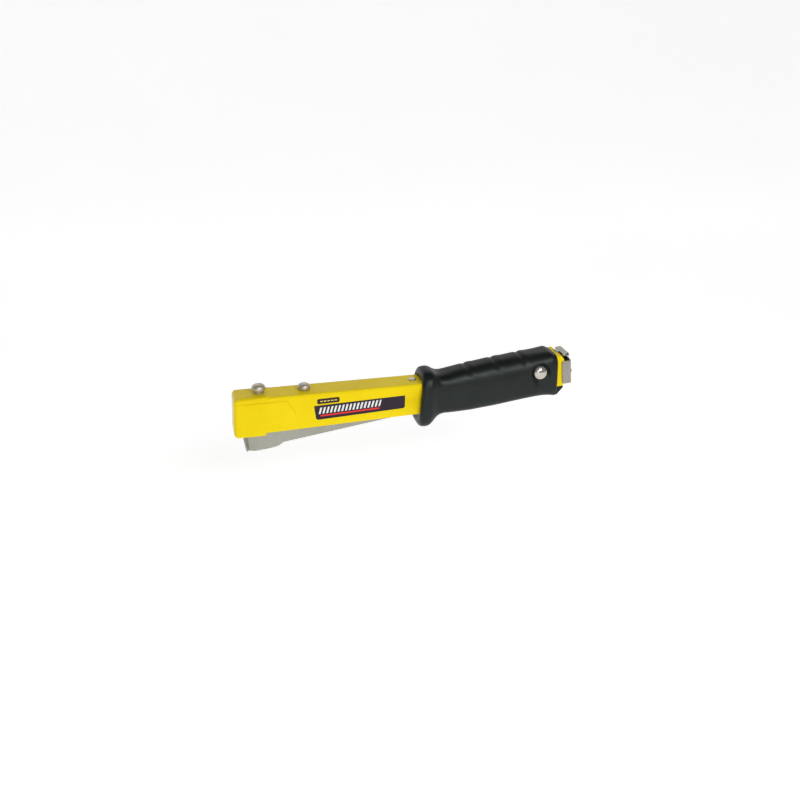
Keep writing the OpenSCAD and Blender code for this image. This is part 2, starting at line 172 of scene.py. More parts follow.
def lathe(name, profile, centre, axis, steps=64, smooth=35):
    """A turned piece: profile is (radius, height) in mm, from the axis outwards and up."""
    axis = Vector(axis).normalized()
    side = axis.orthogonal().normalized()
    other = axis.cross(side)
    verts, faces = [], []
    for k in range(steps):
        a = 2 * math.pi * k / steps
        d = side * math.cos(a) + other * math.sin(a)
        verts += [centre + (d * r + axis * h) * MM for r, h in profile]
    n = len(profile)
    for k in range(steps):
        j = (k + 1) % steps
        faces += [[k * n + i, k * n + i + 1, j * n + i + 1, j * n + i] for i in range(n - 1)]
    return make(name, verts, faces, smooth)


def coil(name, start, axis, radius, wire, length, turns, dead=1.0, span=(0.0, 1.0)):
    """A wound spring with closed end turns, or the span of it from its start."""
    axis = Vector(axis).normalized()
    side = axis.orthogonal().normalized()
    other = axis.cross(side)
    per = 24
    total = turns + 2 * dead
    pts = []
    for k in range(int(total * per) + 1):
        t = k / per
        pitch = wire * 1.02
        run = length - wire - 2 * dead * pitch
        if t < dead:
            h = t * pitch
        elif t < dead + turns:
            h = dead * pitch + (t - dead) / turns * run
        else:
            h = dead * pitch + run + (t - dead - turns) * pitch
        a = 2 * math.pi * t
        round_axis = (side * math.cos(a) + other * math.sin(a)) * radius
        pts.append(start + (round_axis + axis * (h + wire / 2)) * MM)
    pts = pts[int((len(pts) - 1) * span[0]):int((len(pts) - 1) * span[1]) + 1]
    cu = bpy.data.curves.new(name, "CURVE")
    cu.dimensions = "3D"
    sp = cu.splines.new("POLY")
    sp.points.add(len(pts) - 1)
    for p, q in zip(sp.points, pts):
        p.co = (*q, 1)
    cu.bevel_depth = wire / 2 * MM
    cu.bevel_resolution = 3
    cu.use_fill_caps = True
    o = bpy.data.objects.new(name, cu)
    bpy.context.scene.collection.objects.link(o)
    return o


# ---------------------------------------------------------------- materials


class Nodes:
    """Short calls for building a material's node tree."""

    def __init__(self, name):
        self.mat = bpy.data.materials.new(name)
        self.mat.use_nodes = True
        self.t = self.mat.node_tree
        self.bsdf = self.t.nodes["Principled BSDF"]
        coord = self.t.nodes.new("ShaderNodeTexCoord")
        self.pos = coord.outputs["Object"]

    def set(self, **values):
        for k, v in values.items():
            self.bsdf.inputs[k.replace("_", " ")].default_value = v

    def link(self, a, b):
        self.t.links.new(a, b)

    def noise(self, scale, detail=3.0, rough=0.5, stretch=None, distortion=0.0):
        n = self.t.nodes.new("ShaderNodeTexNoise")
        n.inputs["Scale"].default_value = scale
        n.inputs["Detail"].default_value = detail
        n.inputs["Roughness"].default_value = rough
        n.inputs["Distortion"].default_value = distortion
        src = self.pos
        if stretch:
            m = self.t.nodes.new("ShaderNodeMapping")
            m.inputs["Scale"].default_value = stretch
            self.link(src, m.inputs["Vector"])
            src = m.outputs["Vector"]
        self.link(src, n.inputs["Vector"])
        return n.outputs["Fac"]

    def voronoi(self, scale, feature="F1"):
        n = self.t.nodes.new("ShaderNodeTexVoronoi")
        n.feature = feature
        n.inputs["Scale"].default_value = scale
        self.link(self.pos, n.inputs["Vector"])
        return n.outputs["Distance"]

    def ramp(self, fac, stops):
        n = self.t.nodes.new("ShaderNodeValToRGB")
        cr = n.color_ramp
        while len(cr.elements) < len(stops):
            cr.elements.new(0.5)
        for el, (p, c) in zip(cr.elements, stops):
            el.position = p
            el.color = (*c, 1) if not isinstance(c, (int, float)) else (c, c, c, 1)
        self.link(fac, n.inputs["Fac"])
        return n.outputs["Color"]

    def math(self, op, a, b=None, c=None):
        n = self.t.nodes.new("ShaderNodeMath")
        n.operation = op
        for i, v in enumerate((a, b, c)):
            if v is None:
                continue
            if isinstance(v, (int, float)):
                n.inputs[i].default_value = v
            else:
                self.link(v, n.inputs[i])
        return n.outputs[0]

    def mix(self, fac, a, b, mode="MIX"):
        n = self.t.nodes.new("ShaderNodeMix")
        n.data_type = "RGBA"
        n.blend_type = mode
        for sock, v in ((n.inputs[0], fac), (n.inputs[6], a), (n.inputs[7], b)):
            if isinstance(v, (int, float)):
                sock.default_value = v
            elif isinstance(v, tuple):
                sock.default_value = (*v, 1)
            else:
                self.link(v, sock)
        return n.outputs[2]

    def bump(self, height, strength, distance, below=None):
        n = self.t.nodes.new("ShaderNodeBump")
        n.inputs["Strength"].default_value = strength
        n.inputs["Distance"].default_value = distance
        self.link(height, n.inputs["Height"])
        if below is not None:
            self.link(below, n.inputs["Normal"])
        return n.outputs["Normal"]

    def wear(self, low=0.52, high=0.6):
        """1 on convex edges."""
        g = self.t.nodes.new("ShaderNodeNewGeometry")
        return self.ramp(g.outputs["Pointiness"], [(low, 0.0), (high, 1.0)])

    def xyz(self):
        n = self.t.nodes.new("ShaderNodeSeparateXYZ")
        self.link(self.pos, n.inputs[0])
        return n.outputs

    def gloss_with_painted_top_shade(self, side, top):
        """Reflectance that falls from side on upright faces to top on the upper ones: painted shade,
        dimming the tops as if less light fell on them.
        """
        up = self.t.nodes.new("ShaderNodeSeparateXYZ")
        g = self.t.nodes.new("ShaderNodeNewGeometry")
        self.link(g.outputs["Normal"], up.inputs[0])
        level = self.ramp(up.outputs[2], [(0.6, side), (0.92, top)])
        self.link(level, self.bsdf.inputs["Specular IOR Level"])

    def place(self):
        """Millimetres rearwards from the collar and up from the body's top face."""
        x, _, z = self.xyz()
        return self.math("MULTIPLY_ADD", x, 1000.0, -COLLAR_X), self.math("MULTIPLY_ADD", z, 1000.0, -TOP_Z)

    def band(self, v, lo, hi):
        """1 where v is between lo and hi."""
        return self.math("MULTIPLY", self.math("GREATER_THAN", v, lo), self.math("LESS_THAN", v, hi))

    def done(self, color=None, rough=None, normal=None):
        if color is not None:
            self.link(color, self.bsdf.inputs["Base Color"])
        if rough is not None:
            self.link(rough, self.bsdf.inputs["Roughness"])
        if normal is not None:
            self.link(normal, self.bsdf.inputs["Normal"])
        return self.mat


def yellow_paint():
    n = Nodes("yellow_powder_coat")
    n.set(Specular_Tint=(1.0, 0.80, 0.14, 1))
    # upper faces reflect less than the sides: painted shade on the paint's top faces
    n.gloss_with_painted_top_shade(0.22, 0.06)
    cloud = n.noise(28, 3, 0.55)
    base = n.ramp(cloud, [(0.3, (0.80, 0.600, 0.006)), (0.7, (0.86, 0.655, 0.010))])
    fine = n.noise(900, 2, 0.6)
    base = n.mix(n.ramp(fine, [(0.35, 0.0), (0.75, 0.10)]), base, (0.66, 0.46, 0.003))
    rough = n.ramp(n.noise(60, 4, 0.6), [(0.3, 0.24), (0.7, 0.33)])
    peel = n.bump(n.noise(420, 2, 0.5), 0.12, 0.0004)
    wave = n.bump(n.noise(55, 1, 0.4), 0.06, 0.004, peel)
    return n.done(base, rough, wave)


def rubber(name, tint, grain=1500):
    n = Nodes(name)
    n.set(Specular_Tint=(0.85, 1.0, 0.93, 1))
    # upper faces reflect less than the sides: painted shade on the grip's top
    n.gloss_with_painted_top_shade(0.30, 0.10)
    dusty = tuple(c * 1.5 + 0.003 for c in tint)
    dust = n.ramp(n.noise(45, 5, 0.65), [(0.35, tint), (0.75, dusty)])
    rough = n.ramp(n.noise(120, 4, 0.6), [(0.3, 0.33), (0.7, 0.42)])
    cells = n.bump(n.voronoi(grain), 0.22, 0.00025)
    soft = n.bump(n.noise(260, 3, 0.5), 0.10, 0.0006, cells)
    return n.done(dust, rough, soft)


def steel(name, light, dark, rough_lo, rough_hi, stretch=None, scale=60, bump=0.06, spots=None,
          metallic=1.0):
    """Metal between two tones, with grain that stretch draws out and spots of (colour, strength)."""
    n = Nodes(name)
    n.set(Metallic=metallic)
    grain = n.noise(scale, 5, 0.6, stretch)
    col = n.ramp(n.noise(70, 4, 0.6), [(0.3, dark), (0.7, light)])
    col = n.mix(n.ramp(grain, [(0.35, 0.0), (0.75, 0.35)]), col, dark)
    if spots:
        col = n.mix(n.ramp(n.noise(230, 5, 0.7), [(0.62, 0.0), (0.72, spots[1])]), col, spots[0])
    rough = n.ramp(grain, [(0.3, rough_lo), (0.7, rough_hi)])
    return n.done(col, rough, n.bump(grain, bump, 0.0003))


M_YELLOW = yellow_paint()
M_GRIP = rubber("grip_rubber", (0.0045, 0.0050, 0.0046))
M_BUMPER = rubber("bumper_rubber", (0.02, 0.02, 0.02), 900)
M_RIVET = steel("rivet_steel", (0.56, 0.53, 0.48), (0.44, 0.41, 0.37), 0.14, 0.24, None, 160, 0.08)
M_ROLLED = steel("rolled_rivet_steel", (0.66, 0.62, 0.52), (0.40, 0.36, 0.28), 0.36, 0.55, None, 240, 0.7,
                 spots=((0.16, 0.13, 0.09), 0.6))
M_BRIGHT = steel("zinc_plate", (0.62, 0.62, 0.60), (0.46, 0.46, 0.45), 0.20, 0.34, (8, 90, 90), 30)
M_DARK = steel("phosphated_steel", (0.16, 0.16, 0.17), (0.09, 0.09, 0.10), 0.42, 0.58, None, 200, 0.1)
M_SPRING = steel("spring_steel", (0.38, 0.38, 0.40), (0.24, 0.24, 0.26), 0.28, 0.40, None, 300)
M_CASING = steel("magazine_steel", (0.37, 0.365, 0.31), (0.31, 0.305, 0.26), 0.38, 0.50, (14, 160, 160), 24,
                 0.05, metallic=0.45)
M_NOSE = steel("nose_steel", (0.36, 0.35, 0.30), (0.25, 0.24, 0.21), 0.32, 0.46, (160, 160, 12), 24, 0.06,
               metallic=0.7)
M_CLIP = steel("catch_steel", (0.33, 0.32, 0.285), (0.25, 0.24, 0.21), 0.18, 0.30, (150, 150, 10), 26, 0.05)
M_STAPLE = steel("staple_wire", (0.58, 0.58, 0.56), (0.36, 0.36, 0.35), 0.25, 0.4, (787, 3, 3), 1, 0.6)
M_BRASS = steel("bush_brass", (0.80, 0.58, 0.24), (0.62, 0.42, 0.15), 0.3, 0.42, None, 150)


def label():
    """Black film with a plain hatched band over a red stripe."""
    n = Nodes("side_label_film")
    n.set(Specular_IOR_Level=0.2)
    # height above the label's own sloping mid-line
    px, pz = n.place()
    slope = n.math("MULTIPLY_ADD", px, -0.040, pz)
    slope = n.math("ADD", slope, 13.6)
    lean = n.math("MULTIPLY_ADD", slope, -0.3, px)
    hatch = n.math("LESS_THAN", n.math("PINGPONG", n.math("ADD", lean, 90.0), 1.7), 0.85)
    rows = n.math("MULTIPLY", hatch, n.band(slope, -2.3, 3.7))
    shapes = n.math("MULTIPLY", rows, n.band(lean, -94.4, -38.4))
    stripe = n.math("MULTIPLY", n.band(slope, -4.9, -3.4), n.band(px, -93.4, -39.5))
    base = n.ramp(n.noise(90, 4), [(0.3, (0.018, 0.010, 0.020)), (0.7, (0.026, 0.016, 0.028))])
    col = n.mix(shapes, base, (0.78, 0.78, 0.76))
    col = n.mix(stripe, col, (0.72, 0.030, 0.022))
    rough = n.ramp(n.noise(200, 3), [(0.3, 0.26), (0.7, 0.36)])
    return n.done(col, rough, n.bump(n.noise(500, 2), 0.04, 0.0003))


def badge():
    """Dark film with a plain yellow dashed bar."""
    n = Nodes("badge_label_film")
    n.set(Specular_IOR_Level=0.2)
    px, pz = n.place()
    slope = n.math("MULTIPLY_ADD", px, -0.026, pz)
    dash = n.math("LESS_THAN", n.math("PINGPONG", n.math("ADD", px, 85.5), 1.6), 1.15)
    row = n.math("MULTIPLY", dash, n.band(px, -93.2, -77.8))
    bar = n.math("MULTIPLY", row, n.band(slope, -5.9, -4.9))
    base = n.ramp(n.noise(90, 4), [(0.3, (0.030, 0.012, 0.010)), (0.7, (0.040, 0.018, 0.014))])
    col = n.mix(bar, base, (0.72, 0.56, 0.16))
    rough = n.ramp(n.noise(200, 3), [(0.3, 0.26), (0.7, 0.36)])
    return n.done(col, rough, n.bump(n.noise(500, 2), 0.04, 0.0003))


M_LABEL = label()
M_BADGE = badge()


def dress(o, mat, rides, replaces):
    """Gives o its material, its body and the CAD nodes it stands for."""
    o.data.materials.clear()
    o.data.materials.append(mat)
    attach(o, rides)
    if replaces:
        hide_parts(*replaces)


# ---------------------------------------------------------------- body channel

R = 2.6        # bend radius of the body
HALF = 13.5    # the body's half width
FRONT = -168.0
LEAN = 1.4     # the head's foot is this much further forward than its top
FOOT = 31.9    # depth at which the lean is complete
WALL = 1.5


def at_front(x, z):
    """On the head's front face, which leans."""
    return abs(x - FRONT + LEAN * min(1.0, -z / FOOT)) < 0.08


def channel():
    """The folded body: the CAD's channel with its bends rounded."""
    o = copy_node("body_channel", "body_shell")

    def weight(a, b):
        ax, bx = a.x - COLLAR_X, b.x - COLLAR_X
        az, bz = a.z - TOP_Z, b.z - TOP_Z
        side = abs(abs(a.y) - HALF) < 0.05 and abs(abs(b.y) - HALF) < 0.05
        same = a.y * b.y > 0

        def top(x, z):
            """On the top face: level, rising through the grip, or the tail's slope."""
            return min(abs(z - t) for t in (0.0, 15.2 * (x - 4) / 124, 15.9 + (x - 128) * 0.187)) < 0.4

        if side and same and (a - b).length > 3:
            if top(ax, az) and top(bx, bz) and az > -1:
                return R
            if at_front(ax, az) and at_front(bx, bz):
                return R
        if at_front(ax, az) and at_front(bx, bz) and abs(az) < 0.05 and abs(bz) < 0.05:
            return R
        inside = HALF - WALL
        inner = abs(abs(a.y) - inside) < 0.05 and abs(abs(b.y) - inside) < 0.05 and same
        if inner and (a - b).length > 3 and abs(az + WALL) < 1 and abs(bz + WALL) < 1:
            return 1.0
        if side and same and (ax > 131 or az < -20) and (a - b).length > 1:
            return 0.3
        return 0.0

    bevel(o, R, 5, weighted=weight).use_clamp_overlap = False
    shade(o, 35)
    dress(o, M_YELLOW, "housing", ["body_channel"])


channel()

# ---------------------------------------------------------------- head cap


def signed_distance(p, poly):
    """Negative inside the polygon."""
    px, py = p
    best, inside = 1e9, False
    j = len(poly) - 1
    for i in range(len(poly)):
        xi, yi = poly[i]
        xj, yj = poly[j]
        ex, ey = xj - xi, yj - yi
        wx, wy = px - xi, py - yi
        t = max(0.0, min(1.0, (wx * ex + wy * ey) / (ex * ex + ey * ey)))
        best = min(best, (wx - ex * t) ** 2 + (wy - ey * t) ** 2)
        if (yi > py) != (yj > py) and px < (xj - xi) * (py - yi) / (yj - yi) + xi:
            inside = not inside
        j = i
    return -math.sqrt(best) if inside else math.sqrt(best)


def head_cap():
    """A pressed sheet over the head, standing proud by its own thickness, with soft edges."""
    thick, sunk = 0.9, 0.12
    deep, foot_round = 35.3, 3.0      # the cap's depth, and the radius of its foot's front corner
    strap_end, wing_end = -143.0, -111.0
    soft = 4.2                        # radius of the head's front top edge
    # the sheet's outline, unfolded: x, and the distance up the wall and over the bend
    sheet = fillet([
        (-190, 30), (-135.2, 30), (-135.2, 1.2, 4.5), (-141.5, -0.6, 6), (-165.9, -2.6, 0.8),
        (-166.4, -4.6, 0.8), (-122.6, -4.4, 3.5), (-113.6, -18.6, 2.6), (-139.8, -24.1, 4),
        (strap_end, -28, 4), (strap_end, -60), (-190, -60)], 8)
    core_x, core_y = FRONT + R, HALF - R
    xs = [core_x + (wing_end - core_x) * k / 120 for k in range(121)]
    ys = [-core_y + 2 * core_y * k / 48 for k in range(49)]

    def floor_at(x, n):
        """The cap's lower edge, rounded towards the front."""
        d = min(foot_round, x + n.x * R - FRONT)
        return -deep + foot_round - math.sqrt(max(0.0, foot_round ** 2 - (foot_round - d) ** 2))

    def leaning(x, z):
        return x - LEAN * max(0.0, min(1.0, (-150 - x) / 14)) * max(0.0, min(1.0, -z / FOOT))

    columns = [(x, -core_y, Vector((0, -1, 0))) for x in reversed(xs)]
    columns += [(core_x, -core_y, Vector((-math.sin(a), -math.cos(a), 0))) for a in
                [math.pi / 2 * k / 8 for k in range(1, 8)]]
    columns += [(core_x, y, Vector((-1, 0, 0))) for y in ys]
    columns += [(core_x, core_y, Vector((-math.cos(a), math.sin(a), 0))) for a in
                [math.pi / 2 * k / 8 for k in range(1, 8)]]
    columns += [(x, core_y, Vector((0, 1, 0))) for x in xs]
    walls, bands = 72, 9
    verts, faces, raised = [], [], []

    def put(core, n, v):
        x = core.x + n.x * R
        d = signed_distance((min(x, core.x), v), sheet)
        t = max(0.0, min(1.0, 0.5 - d / 0.75))
        h = thick * t * t * (3 - 2 * t) - sunk
        x, z = core.x + n.x * (R + h), core.z + n.z * (R + h)
        # the front top edge is rounder than the others
        dx, dz = x - (FRONT + soft), z + soft
        if dx < 0 < dz and math.hypot(dx, dz) > soft + h:
            k = (soft + h) / math.hypot(dx, dz)
            x, z = FRONT + soft + dx * k, -soft + dz * k
        verts.append(body(leaning(x, z), core.y + n.y * (R + h), z))
        raised.append(h > 0.001 - sunk)

    for cx, cy, n in columns:
        low = floor_at(cx, n)
        verts.append(body(leaning(cx + n.x * (R - thick), low), cy + n.y * (R - thick), low - 0.02))
        raised.append(cx < strap_end)
        for k in range(walls + 1):
            z = low + (-R - low) * k / walls
            put(Vector((cx, cy, z)), n, z)
        for k in range(1, bands + 1):
            f = math.pi / 2 * k / bands
            put(Vector((cx, cy, -R)), n * math.cos(f) + Vector((0, 0, math.sin(f))), -R + R * f)
    rows = walls + bands + 2
    for c in range(len(columns) - 1):
        for r in range(rows - 1):
            q = [c * rows + r, (c + 1) * rows + r, (c + 1) * rows + r + 1, c * rows + r + 1]
            if any(raised[i] for i in q) and not (r == 0 and columns[c][0] > strap_end - 0.2):
                faces.append(q)
    start = len(verts)
    for x in xs:
        for y in ys:
            put(Vector((x, y, -R)), Vector((0, 0, 1)), -R + R * math.pi / 2 + core_y - abs(y))
    for i in range(len(xs) - 1):
        for j in range(len(ys) - 1):
            a, b = start + i * len(ys) + j, start + (i + 1) * len(ys) + j
            q = [a, b, b + 1, a + 1]
            if any(raised[k] for k in q):
                faces.append(q)
    used = sorted({i for f in faces for i in f})
    index = {v: k for k, v in enumerate(used)}
    o = make("head_cap_sheet", [verts[i] for i in used], [[index[i] for i in f] for f in faces], smooth=50)
    dress(o, M_YELLOW, "housing", ["head_cap"])


head_cap()

# ---------------------------------------------------------------- rivets


def dome(r, h, rim=0.5):
    """Profile of a rolled head: a short straight rim, then a flattened dome."""
    pts = [(0.001, 0.0), (r - 0.3, 0.0), (r, 0.25), (r, h * rim)]
    for k in range(1, 11):
        a = math.pi / 2 * k / 10
        pts.append((max(0.001, r * math.cos(a) ** 0.9), h * rim + h * (1 - rim) * math.sin(a) ** 0.9))
    return pts


def rivets():
    """Two tall rolled heads and a small one on top, and a domed head on each side at the pivot."""
    # on the head: x, what it sits on, height of its neck, radius and height of its head
    tall_ones = ((-145.7, 0.85, 2.5, 6.2, 5.5), (-105.3, 0.0, 0.7, 5.8, 5.2))
    for k, (x, seat, neck, r, tall) in enumerate(tall_ones):
        z = seat + neck
        prof = [(0.001, -4), (2.5, -4), (2.5, seat), (5.0, seat), (5.0, z - 0.1), (r - 0.45, z),
                (r - 0.1, z + 0.3), (r, z + 0.9), (r - 0.1, z + 1.9)]
        prof += [((r - 0.1) * math.cos(a) ** 0.62, z + 1.9 + (tall - 1.9) * math.sin(a)) for a in
                 [math.pi / 2 * j / 12 for j in range(1, 12)]]
        prof += [(0.001, z + tall)]
        o = lathe(f"head_rivet_{k}", prof, body(x, 0, 0), (0, 0, 1))
        dress(o, M_ROLLED, "housing", ["head_rivets"] if k == 0 else ())
    prof = [(0.001, -2.1), (3.2, -2.1), (3.2, -1.5), (2, -1.5), (2, 0)] + dome(3.6, 1.3, 0.35)[1:]
    o = lathe("handle_rivet_head", prof, body(-5.8, 0, 0), (0, 0, 1))
    dress(o, M_RIVET, "housing", ["handle_rivet"])
    r, rim, tall = 7.1, 1.6, 6.0
    for k, s in enumerate((-1, 1)):
        prof = [(0.001, -5.1), (3, -5.1), (3, 0), (r - 0.3, 0), (r, 0.4), (r, rim)]
        prof += [(r * math.cos(a), rim + (tall - rim) * math.sin(a)) for a in
                 [math.pi / 2 * j / 14 for j in range(1, 14)]]
        prof += [(0.001, tall)]
        o = lathe(f"pivot_rivet_{k}", prof, body(PIVOT_X, s * HALF, PIVOT_Z), (0, s, 0), 72)
        dress(o, M_RIVET, "housing", ["pivot_rivets"] if k == 0 else ())


rivets()

# ---------------------------------------------------------------- grip

# Stations: x, half width, top, bottom, squareness of the top half, squareness of the bottom half
GRIP = [
    (0.3, 17.6, 6.2, -37.6, 0.64, 0.60), (0.8, 18.8, 7.6, -39.8, 0.64, 0.58),
    (2.0, 20.0, 9.0, -42.0, 0.62, 0.58), (4.0, 20.7, 9.6, -43.1, 0.62, 0.58),
    (6.8, 20.9, 9.8, -43.4, 0.60, 0.58), (9.2, 20.7, 9.5, -42.9, 0.58, 0.58),
    (11.8, 19.3, 8.6, -40.6, 0.56, 0.56), (14.6, 17.6, 7.0, -36.6, 0.54, 0.54),
    (17.6, 16.8, 5.8, -33.6, 0.52, 0.52), (21.0, 16.9, 5.4, -32.2, 0.54, 0.50),
    (25.0, 17.2, 5.9, -32.0, 0.57, 0.50), (31.0, 17.3, 7.2, -31.9, 0.61, 0.50),
    (38.0, 17.4, 8.5, -31.7, 0.64, 0.50), (48.0, 17.6, 10.3, -31.2, 0.66, 0.50),
    (58.0, 17.7, 11.9, -30.2, 0.68, 0.50), (70.0, 17.9, 13.5, -28.9, 0.70, 0.49),
    (82.0, 18.1, 15.0, -27.2, 0.70, 0.48), (94.0, 18.2, 16.4, -25.6, 0.70, 0.48),
    (106.0, 18.3, 17.5, -24.1, 0.66, 0.47), (115.0, 18.3, 18.3, -23.3, 0.60, 0.46),
    (121.0, 18.3, 18.9, -23.4, 0.54, 0.45), (124.0, 18.2, 18.8, -23.7, 0.47, 0.44),
    (126.5, 18.0, 17.6, -24.1, 0.42, 0.44), (128.4, 17.8, 16.9, -24.5, 0.40, 0.44),
    (129.0, 17.3, 16.5, -24.1, 0.40, 0.46)]


def grip_at(x):
    """Smooth interpolation between stations."""
    k = 0
    while k < len(GRIP) - 2 and GRIP[k + 1][0] < x:
        k += 1
    a, b, c, d = GRIP[max(k - 1, 0)], GRIP[k], GRIP[k + 1], GRIP[min(k + 2, len(GRIP) - 1)]
    t = (x - b[0]) / (c[0] - b[0])
    out = []
    for i in range(1, 6):
        span = c[0] - b[0]
        m0 = (c[i] - a[i]) / max(c[0] - a[0], 1e-6) * span
        m1 = (d[i] - b[i]) / max(d[0] - b[0], 1e-6) * span
        out.append((2 * t ** 3 - 3 * t ** 2 + 1) * b[i] + (t ** 3 - 2 * t ** 2 + t) * m0
                   + (-2 * t ** 3 + 3 * t ** 2) * c[i] + (t ** 3 - t ** 2) * m1)
    return out


def power(v, p):
    return math.copysign(abs(v) ** p, v)


def ridges(x, down):
    """Three finger ridges over the top, fading out before the side and sweeping back."""
    push = 0.0
    fade = max(0.0, 1 - down / 0.6) ** 1.5
    for notch in (44.5, 70.8, 96.0):
        d = x - (notch + 5.5 * down + 9 * down ** 2)
        push += fade * (-0.75 * math.exp(-(d / 1.5) ** 2) + 0.5 * math.exp(-((d - 4.4) / 3.2) ** 2)
                        + 0.2 * math.exp(-((d + 5) / 4.0) ** 2))
    return push


def grip():
    """The rubber sleeve, open where the body passes through it, and its heel."""
    sides, verts, faces = 128, [], []
    seat_r, seat_slope = 9.8, 2.0
    xs = [0.3, 0.4, 0.6, 0.8, 1.2, 1.7, 2.3, 3.0, 3.7] + [4.4 + 0.7 * k for k in range(164)]
    xs += [119.2 + 0.5 * k for k in range(19)] + [128.6, 128.8, 129.0]
    for x in xs:
        wide, top, low, st, sb = grip_at(x)
        split = (top * 0.42 + low * 0.58)
        lean = 0.1 * max(0.0, min(1.0, (22 - x) / 16))
        for i in range(sides):
            a = 2 * math.pi * i / sides
            up = math.sin(a) >= 0
            y = wide * power(math.cos(a), st if up else sb)
            z = split + ((top - split) if up else (split - low)) * power(math.sin(a), st if up else sb)
            push = ridges(x, max(0.0, (top - z) / (top - split))) if z > split else 0.0
            r = math.hypot(y, z - split)
            y, z = y * (1 + push / r), split + (z - split) * (1 + push / r)
            # a dished seat round the pivot rivet
            q = math.hypot(x - PIVOT_X, z - PIVOT_Z)
            if abs(y) > 10 and q < seat_r:
                t = min(1.0, max(0.0, (seat_r - q) / seat_slope))
                dish = HALF + 0.6 + (abs(y) - HALF - 0.6) * (1 - t * t * (3 - 2 * t) * 0.78)
                y = math.copysign(dish, y)
            verts.append(body(x + lean * z, y, z))
    n = len(xs)
    for k in range(n - 1):
        for i in range(sides):
            j = (i + 1) % sides
            faces.append([k * sides + i, (k + 1) * sides + i, (k + 1) * sides + j, k * sides + j])
    # rounded lips turn in at both ends
    for k, dx in ((0, 1), (n - 1, -1)):
        rim = verts[k * sides:(k + 1) * sides]
        ring = list(range(k * sides, (k + 1) * sides))
        centre = sum(rim, Vector()) / sides
        lip = ((0.985, -0.15), (0.95, 0.0), (0.90, 0.6), (0.84, 1.1)) if k == 0 else \
            ((0.985, -0.25), (0.96, -0.4))
        for shrink, back in lip:
            new = len(verts)
            for v in rim:
                q = centre + (v - centre) * shrink
                verts.append(Vector((q.x + dx * back * MM, q.y, q.z)))
            old = ring
            ring = list(range(new, new + sides))
            faces += [[old[i], old[(i + 1) % sides], ring[(i + 1) % sides], ring[i]] for i in range(sides)]
        # the lip ends inside the body's wall and leaves its inside open
        low, high = (-28.2, -0.7) if k == 0 else (-12.4, 14.9)
        wide = HALF - 0.7
        new = len(verts)
        for i in ring:
            y, z = verts[i].y * 1000, verts[i].z * 1000 - TOP_Z
            verts.append(Vector((verts[i].x + dx * 0.4 * MM, max(-wide, min(wide, y)) * MM,
                                 (max(low, min(high, z)) + TOP_Z) * MM)))
        faces += [[ring[i], ring[(i + 1) % sides], new + (i + 1) % sides, new + i] for i in range(sides)]
    o = make("grip_sleeve", verts, faces, smooth=60)
    dress(o, M_GRIP, "housing", ["grip"])
    outline = fillet([(124, -15.3), (138.2, -15.3, 1.2), (138.5, -17.5, 1.6), (132.2, -24.5, 2.5),
                      (124, -24.0)])
    heel = prism("grip_heel", outline, -10.5, 10.5)
    bevel(heel, 1.2, 3, 30)
    dress(heel, M_GRIP, "housing", ())


grip()

# ---------------------------------------------------------------- labels


def labels():
    """A large and a small label on each side."""
    big = fillet([(-98.8, -11.6, 0.5), (-15.6, -9.4, 0.5), (-15.9, -21.6, 2.2), (-97.2, -25.2, 2.2)], 6)
    small = fillet([(-95.8, -5.4, 1.5), (-75.6, -4.9, 1.5), (-75.6, -9.8, 1.5), (-95.8, -10.3, 1.5)], 6)
    kinds = (("side_label", big, M_LABEL, "side_labels"), ("badge_label", small, M_BADGE, "badge_labels"))
    for name, outline, mat, node in kinds:
        for k, s in enumerate((-1, 1)):
            o = prism(f"{name}_{k}", outline, s * (HALF - 0.05), s * (HALF + 0.12))
            bevel(o, 0.05, 1, 40)
            dress(o, mat, "housing", [node] if k == 0 else ())


labels()

# ---------------------------------------------------------------- magazine

NOSE_U = -275.3    # the nose, forward of the pivot along the magazine


